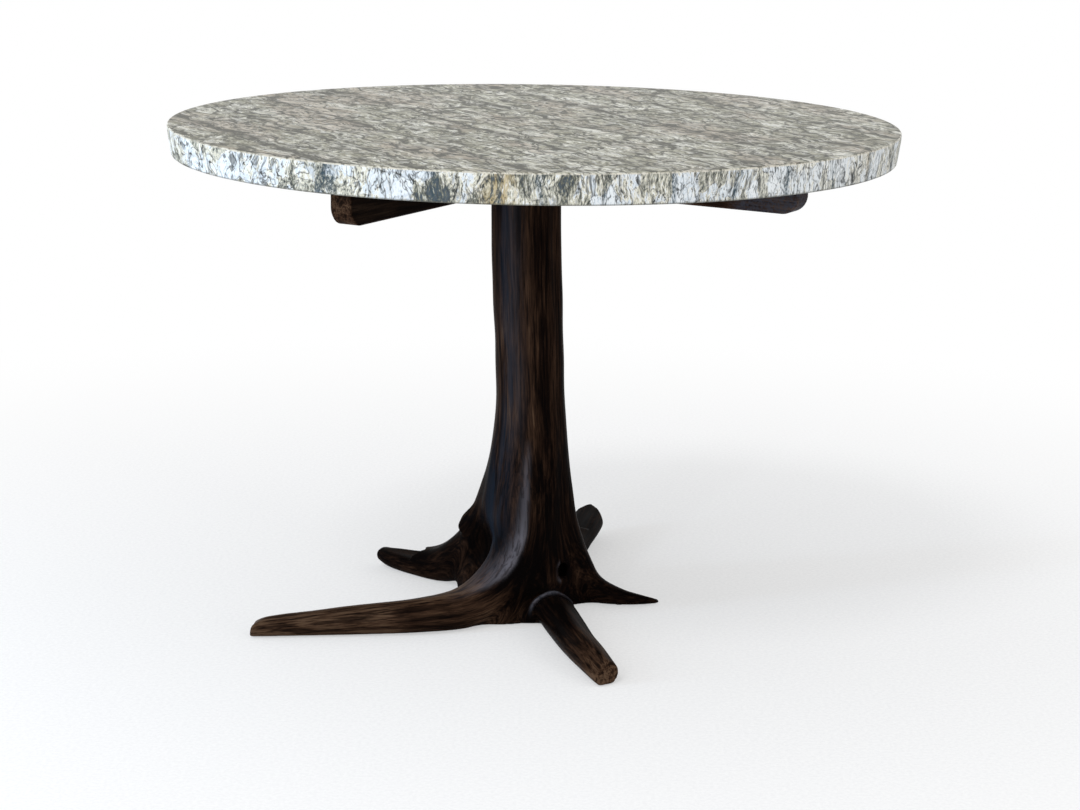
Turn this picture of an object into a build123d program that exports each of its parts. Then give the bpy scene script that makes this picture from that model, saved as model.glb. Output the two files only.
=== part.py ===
from build123d import *
import math
import os

os.makedirs("parts", exist_ok=True)

# Driving sizes of the table, in millimetres. The origin is on the floor under the middle of the top,
# +Z is up and -Y faces the seat that looks at the longest root from its right.
table_height = 762
top_diameter = 1118
top_thickness = 45
rim_slope = 5
rim_land = 6
top_edge_bevel = 2
lower_edge_bevel = 3

# The stump: a trunk that grows out of five cut roots
trunk_diameter = 109
root_spread = 475
root_depth = 60
saw_reach = 145
crown_height = 240
sole_height = 1

# The two crossed arms under the stone
arm_length = 964
arm_width = 36
arm_height = 51
arm_corner = 27
arm_edge_bevel = 2.5
arm_turn = -30
cross_x = -26
cross_y = -6
lap_clearance = 0.3
housing_depth = 20

# Lag screws and washers that hold the arms down on the trunk
screw_spacing = 60
screw_shank = 8
screw_length = 90
screw_point = 6
head_width = 13
head_thickness = 5.5
washer_diameter = 18
washer_thickness = 1.6
counterbore_clearance = 1
counterbore_depth = 12
hole_clearance = 0.4

# Soft pads between arms and stone, and glides let in under the roots
bumper_side = 20
bumper_thickness = 2
bumper_shares = (-0.90, -0.42, 0.42, 0.90)
pad_diameter = 14
pad_thickness = 3
pad_clearance = 0.3

# Heights and radii that follow from them
overrun = top_thickness
trunk_radius = trunk_diameter / 2
arm_top = table_height - top_thickness - bumper_thickness
arm_bottom = arm_top - arm_height
lap_height = arm_bottom + arm_height / 2
trunk_top = arm_bottom + housing_depth
housing_width = arm_width + 2 * lap_clearance
hole_radius = screw_shank / 2 + hole_clearance
counterbore_radius = washer_diameter / 2 + counterbore_clearance
washer_seat = arm_top - counterbore_depth
head_seat = washer_seat + washer_thickness
pilot_depth = screw_length - (head_seat - arm_bottom) + hole_clearance


# The stone: a turned disc whose rim leans in towards its underside
with BuildPart() as granite_top:
    with BuildSketch(Plane.XZ) as stone_half:
        with BuildLine():
            Polyline(
                (0, table_height - top_thickness),
                (top_diameter / 2 - rim_slope, table_height - top_thickness),
                (top_diameter / 2, table_height - rim_land),
                (top_diameter / 2, table_height),
                (0, table_height),
                close=True,
            )
        make_face()
        chamfer(stone_half.vertices().group_by(Axis.Y)[-1].sort_by(Axis.X)[-1], length=top_edge_bevel)
        chamfer(stone_half.vertices().group_by(Axis.Y)[0].sort_by(Axis.X)[-1], length=lower_edge_bevel)
    revolve(axis=Axis.Z)
granite_top.part.label = "granite_top"


# The trunk: its outline at each height as (height, middle x, middle y, half width, swell) shares of the trunk's
# height and radius. Swell is how far the outline is drawn out towards the roots and in between them.
trunk_shares = (
    (0.000, -0.05, 0.00, 1.58, 0.40),
    (0.075, -0.05, 0.00, 1.47, 0.30),
    (0.160, -0.07, 0.00, 1.37, 0.24),
    (0.250, -0.07, 0.00, 1.25, 0.16),
    (0.350, -0.03, 0.00, 1.11, 0.08),
    (0.460, -0.01, 0.00, 1.00, 0.04),
    (0.600, -0.07, 0.00, 0.97, 0.03),
    (0.740, -0.14, 0.00, 0.98, 0.02),
    (0.870, -0.19, 0.00, 0.99, 0.02),
    (1.000, -0.21, 0.00, 0.99, 0.02),
)
# Directions of the ridges and of the hollows between them, in turns, with their part in the swell
ridge_shares = (
    (0.010, 0.5),
    (0.130, -0.4),
    (0.240, 0.4),
    (0.320, -0.3),
    (0.420, 1.0),
    (0.520, 0.2),
    (0.620, -0.3),
    (0.700, 0.8),
    (0.790, 0.1),
    (0.920, -0.2),
    (1.010, 0.5),
)
# The flats that the drawknife leaves round the trunk and round each root
trunk_sides = 28
root_sides = 14


def ridge_at(turn):
    """The ridge's part in one direction: a cosine curve leads from each listed direction to the next."""
    for (start, first), (end, last) in zip(ridge_shares, ridge_shares[1:]):
        if start <= turn <= end:
            share = (1 - math.cos(math.pi * (turn - start) / (end - start))) / 2
            return first + (last - first) * share


def trunk_outline(middle_x, middle_y, half_width, swell):
    """Corners of the trunk's outline at one height: radius = half width x (1 + swell x ridge)."""
    corners = []
    for side in range(trunk_sides):
        turn = ridge_shares[0][0] + side / trunk_sides
        radius = half_width * (1 + swell * ridge_at(turn))
        corners.append(
            (
                (middle_x + radius * math.cos(turn * 2 * math.pi)) * trunk_radius,
                (middle_y + radius * math.sin(turn * 2 * math.pi)) * trunk_radius,
            )
        )
    return corners


# Each root as its middle line and thickness: (x, y, rise, width, height). The places are shares of the root
# spread, the rise is a share of the crown's height, and the thicknesses are shares of the root depth.
front_left_shares = (
    (0.000, -0.040, 1.10, 0.50, 0.50),
    (-0.006, -0.075, 0.66, 0.86, 0.90),
    (-0.036, -0.125, 0.33, 1.10, 1.16),
    (-0.098, -0.205, 0.10, 1.20, 1.20),
    (-0.200, -0.295, 0.00, 1.14, 1.07),
    (-0.345, -0.356, 0.00, 1.02, 0.90),
    (-0.520, -0.388, 0.00, 0.90, 0.77),
    (-0.700, -0.412, 0.00, 0.76, 0.62),
    (-0.840, -0.430, 0.00, 0.62, 0.49),
    (-0.905, -0.438, 0.00, 0.50, 0.42),
)
back_left_shares = (
    (-0.060, 0.040, 0.64, 0.80, 0.80),
    (-0.125, 0.090, 0.35, 1.15, 1.10),
    (-0.205, 0.150, 0.10, 1.24, 1.20),
    (-0.290, 0.220, 0.00, 1.06, 1.02),
    (-0.385, 0.285, 0.00, 0.82, 0.76),
    (-0.465, 0.350, 0.01, 0.62, 0.56),
    (-0.516, 0.406, 0.03, 0.46, 0.38),
)
back_right_shares = (
    (0.030, 0.050, 0.65, 0.80, 0.80),
    (0.065, 0.135, 0.32, 0.95, 0.95),
    (0.100, 0.270, 0.08, 0.92, 0.92),
    (0.146, 0.450, 0.00, 0.84, 0.84),
    (0.188, 0.630, 0.02, 0.86, 0.82),
    (0.218, 0.780, 0.04, 0.88, 0.80),
    (0.228, 0.860, 0.05, 0.82, 0.74),
)
right_shares = (
    (0.030, 0.000, 0.60, 0.75, 0.75),
    (0.090, 0.000, 0.32, 0.95, 0.95),
    (0.160, -0.004, 0.10, 0.96, 0.92),
    (0.230, -0.018, 0.01, 0.78, 0.68),
    (0.305, -0.034, 0.00, 0.58, 0.44),
    (0.375, -0.036, 0.00, 0.36, 0.28),
    (0.432, -0.026, 0.00, 0.14, 0.12),
)
front_shares = (
    (0.055, -0.060, 0.02, 0.80, 0.52),
    (0.070, -0.160, 0.00, 0.98, 0.62),
    (0.090, -0.280, 0.00, 1.04, 0.75),
    (0.119, -0.440, 0.00, 0.98, 0.84),
    (0.156, -0.600, 0.00, 0.90, 0.80),
    (0.200, -0.750, 0.00, 0.80, 0.70),
    (0.235, -0.862, 0.00, 0.68, 0.54),
    (0.251, -0.918, 0.00, 0.56, 0.44),
)
roots = {
    "front_left": front_left_shares,
    "back_left": back_left_shares,
    "back_right": back_right_shares,
    "right": right_shares,
    "front": front_shares,
}
seat_share = 0.46


def root_middles(shares):
    """The root's middle line: each point stands on its own half height, lifted by its rise."""
    return [
        Vector(x * root_spread, y * root_spread, rise * crown_height + seat_share * height * root_depth)
        for x, y, rise, width, height in shares
    ]


def root_sections(shares):
    """An oval of flats across the root at each of its places, square to its middle line."""
    middles = root_middles(shares)
    turns = [side / root_sides * 2 * math.pi for side in range(root_sides)]
    sections = []
    for i, (x, y, rise, width, height) in enumerate(shares):
        ahead = middles[min(i + 1, len(middles) - 1)] - middles[max(i - 1, 0)]
        across = Vector(0, 0, 1).cross(ahead)
        half_width = width * root_depth / 2
        half_height = height * root_depth / 2
        with BuildSketch(Plane(middles[i], x_dir=across, z_dir=ahead)) as oval:
            with BuildLine():
                Polyline(
                    *[(half_width * math.cos(turn), half_height * math.sin(turn)) for turn in turns],
                    close=True,
                )
            make_face()
        sections.append(oval.sketch.face())
    return sections


# Flat saw cuts on the roots: a point of the cut as shares of the root spread, and the direction it faces
saw_cuts = {
    "front_left": (
        (-0.883, -0.434, 0.021, (-0.97, 0.10, 0.22)),
        (-0.863, -0.434, 0.049, (-0.45, 0.05, 0.89)),
    ),
    "back_left": ((-0.488, 0.400, 0.076, (-0.10, -0.14, 0.98)),),
    "back_right": (
        (0.211, 0.695, 0.099, (-0.10, -0.08, 0.99)),
        (0.261, 0.815, 0.063, (0.80, 0.55, 0.20)),
        (0.179, 0.832, 0.063, (-0.50, 0.85, 0.10)),
    ),
    "right": (),
    "front": (
        (0.244, -0.872, 0.029, (0.50, -0.75, 0.40)),
        (0.200, -0.811, 0.065, (-0.42, -0.35, 0.84)),
    ),
}
# The burl low on the left of the trunk leaves it in the same way as a root, but ends in a break
burl_shares = (
    (-0.110, 0.030, 0.44, 0.70, 0.80),
    (-0.182, 0.055, 0.43, 0.60, 0.66),
    (-0.224, 0.068, 0.40, 0.32, 0.36),
)
# The rolled lip of the crown, from which the front root comes out
lip_shares = (
    (0.060, -0.090, 0.00, 0.90, 0.60),
    (0.068, -0.150, 0.00, 1.12, 0.74),
    (0.072, -0.185, 0.00, 1.18, 0.80),
    (0.076, -0.204, 0.00, 1.10, 0.74),
)
# The toe of the crown, which fills the corner between the trunk and the front left root
toe_shares = (
    (-0.083, -0.047, 0.00, 1.10, 1.02),
    (-0.077, -0.127, 0.00, 1.38, 0.97),
    (-0.061, -0.193, 0.00, 1.38, 0.66),
    (-0.044, -0.249, 0.00, 1.10, 0.32),
)
# The knot hole above the front root is cut in the same way: it starts before its mouth and narrows inwards
knot_shares = (
    (0.1145, -0.180, 0.223, 0.30, 0.50),
    (0.1145, -0.120, 0.198, 0.26, 0.44),
    (0.1145, -0.060, 0.174, 0.18, 0.30),
)

# Where the glide sits under each root, as a share of the places along the root
pad_shares = {"front_left": 0.78, "back_left": 0.67, "back_right": 0.67, "right": 0.67, "front": 0.57}
pad_points = {}
for name, share in pad_shares.items():
    middles = root_middles(roots[name])
    middle = middles[round(share * (len(middles) - 1))]
    pad_points[name] = (middle.X, middle.Y)

# The arms' frame: the upper arm lies along its X axis and the lower arm along its Y axis
cross_plane = Plane((cross_x, cross_y, 0), x_dir=Vector(1, 0, 0).rotate(Axis.Z, arm_turn), z_dir=(0, 0, 1))

# The stump: trunk and roots are one piece of wood
with BuildPart() as stump:
    for height, middle_x, middle_y, half_width, swell in trunk_shares:
        with BuildSketch(Plane.XY.offset(height * trunk_top)):
            with BuildLine():
                Polyline(*trunk_outline(middle_x, middle_y, half_width, swell), close=True)
            make_face()
    loft()
    for name, shares in roots.items():
        with BuildPart():
            loft(root_sections(shares))
            for x, y, z, facing in saw_cuts[name]:
                with BuildSketch(Plane(Vector(x, y, z) * root_spread, z_dir=facing)):
                    Rectangle(saw_reach, saw_reach)
                extrude(amount=saw_reach, mode=Mode.SUBTRACT)
    for shares in (burl_shares, lip_shares, toe_shares):
        loft(root_sections(shares))
    split(bisect_by=Plane.XY.offset(sole_height), keep=Keep.TOP)
    # The knot hole
    loft(root_sections(knot_shares), mode=Mode.SUBTRACT)
    # The cross-shaped housing that the arms are let into
    with BuildSketch(cross_plane.offset(arm_bottom)):
        Rectangle(arm_length, housing_width)
        Rectangle(housing_width, arm_length)
    extrude(amount=housing_depth + overrun, mode=Mode.SUBTRACT)
    # Pilot holes for the lag screws
    with BuildSketch(cross_plane.offset(arm_bottom)):
        with PolarLocations(screw_spacing / 2, 4):
            Circle(hole_radius)
    extrude(amount=-pilot_depth, mode=Mode.SUBTRACT)
    # Seats for the glides
    with BuildSketch(Plane.XY):
        with Locations(*pad_points.values()):
            Circle(pad_diameter / 2 + pad_clearance)
    extrude(amount=pad_thickness, mode=Mode.SUBTRACT)
stump.part.label = "stump"


# One arm: a bearer with its lower end corners rounded off, half of its height notched away where it crosses the
# other, and a counterbored hole on each side of the notch
def make_arm(along, notch_bottom):
    with BuildPart() as arm:
        side_plane = Plane(cross_plane.origin, x_dir=along, z_dir=along.cross(Vector(0, 0, 1)))
        with BuildSketch(side_plane) as side:
            with Locations((0, arm_bottom + arm_height / 2)):
                Rectangle(arm_length, arm_height)
            fillet(side.vertices().group_by(Axis.Y)[0], radius=arm_corner)
        extrude(amount=arm_width / 2, both=True)
        top_edges = arm.faces().sort_by(Axis.Z)[-1].edges()
        chamfer([edge for edge in arm.edges() if edge not in top_edges], length=arm_edge_bevel)
        with BuildSketch(Plane(cross_plane.origin, x_dir=along, z_dir=(0, 0, 1)).offset(notch_bottom)):
            Rectangle(housing_width, arm_width + 2 * overrun)
        extrude(amount=arm_height / 2, mode=Mode.SUBTRACT)
        with Locations(Plane(cross_plane.origin, x_dir=along, z_dir=(0, 0, 1)).offset(arm_top)):
            with Locations((-screw_spacing / 2, 0), (screw_spacing / 2, 0)):
                CounterBoreHole(hole_radius, counterbore_radius, counterbore_depth)
    return arm


upper_arm = make_arm(cross_plane.x_dir, arm_bottom)
upper_arm.part.label = "upper_arm"
lower_arm = make_arm(cross_plane.y_dir, lap_height)
lower_arm.part.label = "lower_arm"


# Four lag screws: hexagonal head, shank and point
with BuildPart() as lag_screws:
    with BuildSketch(cross_plane.offset(head_seat)):
        with PolarLocations(screw_spacing / 2, 4):
            RegularPolygon(head_width / 2, 6, major_radius=False)
    extrude(amount=head_thickness)
    with BuildSketch(cross_plane.offset(head_seat)):
        with PolarLocations(screw_spacing / 2, 4):
            Circle(screw_shank / 2)
    extrude(amount=screw_point - screw_length)
    chamfer(lag_screws.edges().group_by(Axis.Z)[0], screw_point, screw_shank / 3)
lag_screws.part.label = "lag_screws"

with BuildPart() as lag_washers:
    with BuildSketch(cross_plane.offset(washer_seat)):
        with PolarLocations(screw_spacing / 2, 4):
            Circle(washer_diameter / 2)
            Circle(hole_radius, mode=Mode.SUBTRACT)
    extrude(amount=washer_thickness)
lag_washers.part.label = "lag_washers"


# Soft square pads that the stone lies on, four on each arm
bumpers = []
for along in (cross_plane.x_dir, cross_plane.y_dir):
    for place in bumper_shares:
        middle = cross_plane.origin + along * (place * arm_length / 2)
        with BuildPart() as stone_bumper:
            with BuildSketch(Plane(middle, x_dir=along, z_dir=(0, 0, 1)).offset(arm_top)):
                Rectangle(bumper_side, bumper_side)
            extrude(amount=bumper_thickness)
        stone_bumper.part.label = f"stone_bumper_{len(bumpers) + 1}"
        bumpers.append(stone_bumper.part)

# A glide let in under each root
pads = []
for name, (pad_x, pad_y) in pad_points.items():
    with BuildPart() as floor_pad:
        with BuildSketch(Plane.XY):
            with Locations((pad_x, pad_y)):
                Circle(pad_diameter / 2)
        extrude(amount=pad_thickness)
    floor_pad.part.label = f"floor_pad_{name}"
    pads.append(floor_pad.part)

pieces = [granite_top, stump, upper_arm, lower_arm, lag_screws, lag_washers]
for piece in [built.part for built in pieces] + bumpers + pads:
    export_step(piece, f"parts/{piece.label}.step")
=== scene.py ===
# %% [markdown]
# A dining table made of a tree stump. The roots of a dark, heavy wood are the feet, two crossed arms lie on
# the trunk, and a thick round slab of veined granite lies on the arms. The measured model of the table is
# loaded first. It stays where it is, and every visible piece that is made here takes its place in the same
# frame, in metres.

# %% Load the measured model
import math

import bpy
import numpy as np
from mathutils import Matrix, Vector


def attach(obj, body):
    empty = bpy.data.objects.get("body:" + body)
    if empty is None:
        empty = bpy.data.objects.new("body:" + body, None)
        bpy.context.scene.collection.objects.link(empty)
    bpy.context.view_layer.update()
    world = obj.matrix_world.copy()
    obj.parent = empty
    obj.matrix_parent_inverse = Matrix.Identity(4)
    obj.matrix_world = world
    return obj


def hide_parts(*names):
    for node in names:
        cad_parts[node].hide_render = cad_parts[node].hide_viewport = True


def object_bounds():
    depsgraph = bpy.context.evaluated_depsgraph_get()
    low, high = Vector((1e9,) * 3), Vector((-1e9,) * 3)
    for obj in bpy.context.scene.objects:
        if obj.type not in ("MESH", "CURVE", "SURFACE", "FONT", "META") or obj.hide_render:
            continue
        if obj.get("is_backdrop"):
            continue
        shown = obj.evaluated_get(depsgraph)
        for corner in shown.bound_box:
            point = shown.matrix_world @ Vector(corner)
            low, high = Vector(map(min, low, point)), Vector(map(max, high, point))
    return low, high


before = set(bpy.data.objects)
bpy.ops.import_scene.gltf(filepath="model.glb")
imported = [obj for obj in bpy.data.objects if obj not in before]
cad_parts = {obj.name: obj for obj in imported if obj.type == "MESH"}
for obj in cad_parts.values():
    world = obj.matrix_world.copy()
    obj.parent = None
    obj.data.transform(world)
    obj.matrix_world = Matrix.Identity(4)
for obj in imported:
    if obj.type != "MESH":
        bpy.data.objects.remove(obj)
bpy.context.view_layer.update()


# %% [markdown]
# Every new surface comes as arrays of points and faces. One helper puts them into a mesh in a single call
# each, shades it smooth and, where a pattern has to follow the surface, stores named values on its points.

# %% Arrays into a mesh
def mesh_object(name, points, faces, values=None):
    """A mesh object from an array of points and arrays of faces, with named values stored on its points."""
    mesh = bpy.data.meshes.new(name)
    mesh.from_pydata(points.astype(float).tolist(), [], [face for array in faces for face in array.tolist()])
    mesh.polygons.foreach_set("use_smooth", np.ones(len(mesh.polygons), dtype=bool))
    for label, array in (values or {}).items():
        kind, field = ("FLOAT_VECTOR", "vector") if array.ndim == 2 else ("FLOAT", "value")
        mesh.attributes.new(label, kind, "POINT").data.foreach_set(field, array.astype(np.float32).ravel())
    mesh.update()
    piece = bpy.data.objects.new(name, mesh)
    bpy.context.collection.objects.link(piece)
    print(name, "points", len(points), "faces", len(mesh.polygons))
    return piece


def unit(vector):
    """The direction of a vector: divided by its length."""
    return np.array(vector) / np.linalg.norm(vector)


def waves(points, count, shortest, longest, seed):
    """A soft random field: sine waves in random directions, summed and divided by the root of their count."""
    random = np.random.default_rng(seed)
    directions = random.normal(size=(count, 3))
    directions /= np.linalg.norm(directions, axis=1, keepdims=True)
    lengths = np.exp(random.uniform(np.log(shortest), np.log(longest), count))
    phases = random.uniform(0, 2 * np.pi, count)
    turns = points @ (directions / lengths[:, None]).T * 2 * np.pi + phases
    return np.sin(turns).sum(axis=1) / math.sqrt(count)


# %% [markdown]
# The stump is one piece of wood, so trunk and roots have to flow into each other. Tubes pushed together would
# show a hard crease at each joint. Here the wood is a distance field instead: a number for every point of
# space, below zero inside the wood. A smooth minimum of two distances joins their shapes with the hollow
# curve that a living root has. First come the sizes and shapes of trunk and roots, in the same shares as in
# the measured model.

# %% Sizes of the stump
trunk_radius = 0.0545
trunk_top = 0.684
root_spread = 0.475
root_depth = 0.060
crown_height = 0.240
sole_height = 0.001
seat_share = 0.46

# Height, middle x, middle y, half width and swell of the trunk, as shares of its height and radius
trunk_shares = np.array([
    (0, -0.05, 0, 1.58, 0.4), (0.075, -0.05, 0, 1.47, 0.3), (0.16, -0.07, 0, 1.37, 0.24),
    (0.25, -0.07, 0, 1.25, 0.16), (0.35, -0.03, 0, 1.11, 0.08), (0.46, -0.01, 0, 1, 0.04),
    (0.6, -0.07, 0, 0.97, 0.03), (0.74, -0.14, 0, 0.98, 0.02), (0.87, -0.19, 0, 0.99, 0.02),
    (1, -0.21, 0, 0.99, 0.02),
])
# Directions of the ridges and hollows in turns, with their part in the swell
ridge_shares = np.array([
    (0.01, 0.5), (0.13, -0.4), (0.24, 0.4), (0.32, -0.3), (0.42, 1), (0.52, 0.2), (0.62, -0.3),
    (0.7, 0.8), (0.79, 0.1), (0.92, -0.2),
])
# Each root as (x, y, rise, width, height) shares of the root spread, the crown's height and the root depth
root_shares = {
    "front_left": [
        (0, -0.04, 1.1, 0.5, 0.5), (-0.006, -0.075, 0.66, 0.86, 0.9), (-0.036, -0.125, 0.33, 1.1, 1.16),
        (-0.098, -0.205, 0.1, 1.2, 1.2), (-0.2, -0.295, 0, 1.14, 1.07), (-0.345, -0.356, 0, 1.02, 0.9),
        (-0.52, -0.388, 0, 0.9, 0.77), (-0.7, -0.412, 0, 0.76, 0.62), (-0.84, -0.43, 0, 0.62, 0.49),
        (-0.88, -0.436, 0, 0.54, 0.46),
    ],
    "back_left": [
        (-0.06, 0.04, 0.64, 0.8, 0.8), (-0.125, 0.09, 0.35, 1.15, 1.1), (-0.205, 0.15, 0.1, 1.24, 1.2),
        (-0.29, 0.22, 0, 1.06, 1.02), (-0.385, 0.285, 0, 0.82, 0.76), (-0.465, 0.35, 0.01, 0.62, 0.56),
        (-0.502, 0.392, 0.03, 0.5, 0.42),
    ],
    "back_right": [
        (0.03, 0.05, 0.65, 0.8, 0.8), (0.065, 0.135, 0.32, 0.95, 0.95), (0.1, 0.27, 0.08, 0.92, 0.92),
        (0.146, 0.45, 0, 0.84, 0.84), (0.188, 0.63, 0.02, 0.86, 0.82), (0.218, 0.78, 0.04, 0.88, 0.8),
        (0.226, 0.83, 0.05, 0.86, 0.78), (0.234, 0.875, 0.05, 0.85, 0.77),
    ],
    "right": [
        (0.03, 0, 0.6, 0.75, 0.75), (0.09, 0, 0.32, 0.95, 0.95), (0.16, -0.004, 0.1, 0.96, 0.92),
        (0.23, -0.018, 0.01, 0.78, 0.68), (0.305, -0.034, 0, 0.58, 0.44), (0.375, -0.036, 0, 0.36, 0.28),
        (0.432, -0.026, 0, 0.14, 0.12),
    ],
    "front": [
        (0.055, -0.06, 0.02, 0.8, 0.52), (0.07, -0.16, 0, 0.98, 0.62), (0.09, -0.28, 0, 1.04, 0.75),
        (0.119, -0.44, 0, 0.98, 0.84), (0.156, -0.6, 0, 0.9, 0.8), (0.2, -0.75, 0, 0.8, 0.7),
        (0.235, -0.862, 0, 0.7, 0.56), (0.248, -0.9, 0, 0.58, 0.46),
    ],
    "toe": [
        (-0.083, -0.047, 0, 1.1, 1.02), (-0.077, -0.127, 0, 1.38, 0.97), (-0.066, -0.193, 0, 1.4, 0.66),
        (-0.056, -0.24, 0, 1.2, 0.36),
    ],
    "burl": [
        (-0.11, 0.03, 0.44, 0.7, 0.8), (-0.182, 0.055, 0.43, 0.6, 0.66), (-0.218, 0.066, 0.4, 0.36, 0.4),
    ],
}
print("places along each root", {name: len(rows) for name, rows in root_shares.items()})


# %% [markdown]
# The tables hold only as many places as the shape needs. Straight lines between them would leave corners, so
# cubic curves go through them. Each root becomes a row of close places, with the length so far, which the
# grain needs later.

# %% Curves through the given places
def through(places, values, wanted):
    """A smooth curve in cubic pieces. The slope at each place is the mean slope to its two neighbours."""
    slopes = np.gradient(values, places, axis=0)
    index = np.clip(np.searchsorted(places, wanted) - 1, 0, len(places) - 2)
    step = places[index + 1] - places[index]
    share = np.clip((wanted - places[index]) / step, 0, 1)
    if values.ndim == 2:
        step, share = step[:, None], share[:, None]
    start, end = values[index], values[index + 1]
    return (
        start * (1 + 2 * share) * (1 - share) ** 2
        + end * share**2 * (3 - 2 * share)
        + slopes[index] * step * share * (1 - share) ** 2
        - slopes[index + 1] * step * share**2 * (1 - share)
    )


def root_line(shares, steps):
    """The root as rows of x, y, z, half width, half height and length so far, at even steps along it."""
    table = np.array(shares)
    half = table[:, 3:5] * root_depth / 2
    rise = table[:, 2] * crown_height + 2 * seat_share * half[:, 1]
    values = np.column_stack([table[:, :2] * root_spread, rise, half])
    rows = through(np.arange(len(table), dtype=float), values, np.linspace(0, len(table) - 1, steps))
    along = np.concatenate([[0], np.cumsum(np.linalg.norm(np.diff(rows[:, :3], axis=0), axis=1))])
    return np.column_stack([rows, along])


root_lines = {name: root_line(shares, 4 * len(shares)) for name, shares in root_shares.items()}
print("root lengths", {name: round(float(line[-1, 5]), 3) for name, line in root_lines.items()})


# %% [markdown]
# The distance to the trunk compares a point's distance from the trunk's middle with the radius in that
# direction and at that height. The distance to a root goes over the short stretches of its middle line and
# keeps the nearest one, whose cross section is an oval. Exact distances would need a search for each point,
# and these are close enough where it matters, near the surface.

# %% Distance to the trunk and to a root
wall_lean_share, tip_share, core_share = 0.93, 0.6, 0.3
turn_places = np.concatenate([ridge_shares[-2:, 0] - 1, ridge_shares[:, 0], ridge_shares[:2, 0] + 1])
turn_ridges = np.concatenate([ridge_shares[-2:, 1], ridge_shares[:, 1], ridge_shares[:2, 1]])
fine_turns = np.linspace(0, 1, 361)
fine_ridges = through(turn_places, turn_ridges, fine_turns)


def turn_of(across, back):
    """The direction of an offset in turns, from 0 to 1, counted from the right towards the back."""
    return np.mod(np.arctan2(back, across) / (2 * np.pi), 1)


def trunk_rows(height):
    """Middle x, middle y, half width in metres and swell of the trunk at the given heights."""
    rows = through(trunk_shares[:, 0] * trunk_top, trunk_shares[:, 1:], height)
    return rows * np.array([trunk_radius, trunk_radius, trunk_radius, 1])


def trunk_distance(x, y, rows):
    """Distance from the middle less the radius: half width x (1 + swell x ridge in this direction)."""
    middle_x, middle_y, half_width, swell = np.moveaxis(rows, -1, 0)
    across, back = x - middle_x, y - middle_y
    radius = half_width * (1 + swell * np.interp(turn_of(across, back), fine_turns, fine_ridges))
    return (np.hypot(across, back) - radius) * wall_lean_share


def root_distance(x, y, z, line, places=False):
    """Least distance to the ovals along a root and, if wanted, the offsets across, down and along there."""
    best = np.full(np.broadcast(x, y, z).shape, 1.0, dtype=np.float32)
    offsets = [np.zeros_like(best) for _ in range(3)] if places else None
    for start, end in zip(line[:-1], line[1:]):
        length = np.linalg.norm(end[:3] - start[:3])
        ahead = unit(end[:3] - start[:3])
        side = unit((-ahead[1], ahead[0], 0))
        fall = np.cross(ahead, side)
        dx, dy, dz = x - start[0], y - start[1], z - start[2]
        run, across, down = (dx * way[0] + dy * way[1] + dz * way[2] for way in (ahead, side, fall))
        share = np.clip(run / length, 0, 1)
        past = run - share * length
        width, height = (start[i] + (end[i] - start[i]) * share for i in (3, 4))
        spread = (across / width) ** 2 + (down / height) ** 2 + (past / (tip_share * width)) ** 2
        spread = np.sqrt(spread) + 1e-6
        distance = np.sqrt(across**2 + down**2 + past**2) * (1 - 1 / spread)
        distance = np.where(spread < core_share, (spread - 1) * np.minimum(width, height), distance)
        closer = distance < best
        best = np.where(closer, distance, best)
        if places:
            for kept, new in zip(offsets, (across, down, start[5] + run)):
                kept[closer] = new[closer]
    return (best, *offsets) if places else best


def smooth_least(first, second, blend):
    """The smaller of two distances, rounded off where they differ by less than the blend."""
    share = np.clip(0.5 + 0.5 * (second - first) / blend, 0, 1)
    return second + (first - second) * share - blend * share * (1 - share)


# %% [markdown]
# The field is worked out on a grid of small cubes. Each root only changes the cubes near it, which keeps this
# quick. Round the front root the real crown ends in a rolled lip with a groove before it, so both are put in
# just before and after that root.

# %% Fill the grid with the distance to the wood
cell = 0.003
grid_low = np.array([-0.465, -0.455, -0.012])
grid_count = np.ceil((np.array([0.235, 0.435, 0.700]) - grid_low) / cell).astype(int)
axes = [(grid_low[i] + cell * np.arange(grid_count[i])).astype(np.float32) for i in range(3)]
wood = np.full(grid_count, 1.0, dtype=np.float32)


def block(low, high):
    """The part of the grid between two corners: its slices and its three axes, ready to combine."""
    starts = [max(int((low[i] - grid_low[i]) / cell), 0) for i in range(3)]
    ends = [min(int((high[i] - grid_low[i]) / cell) + 1, grid_count[i]) for i in range(3)]
    cuts = tuple(slice(start, end) for start, end in zip(starts, ends))
    return cuts, *np.ix_(*(axis[cut] for axis, cut in zip(axes, cuts)))


# The lip over the front root: where its ring stands, how it leans forward at its left, and its half thickness
lip_front, lip_corner, lip_lean, lip_lean_share = -0.0965, 0.042, 0.75, 0.82
lip_span, lip_radii = (0.045, 0.065), (0.0052, 0.0036)
groove_place, groove_radius = 0.0070, 0.0040


def before_lip(x, y):
    """How far a point lies behind the ring of the lip: less than 0 is in front of it."""
    return (y - lip_front - lip_lean * np.minimum(x - lip_corner, 0)) * lip_lean_share


def take_out(cuts, shape, blend):
    """Takes a shape out of a part of the grid: a smooth minimum with the signs of both distances turned."""
    wood[cuts] = -smooth_least(-wood[cuts], shape, blend)


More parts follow.
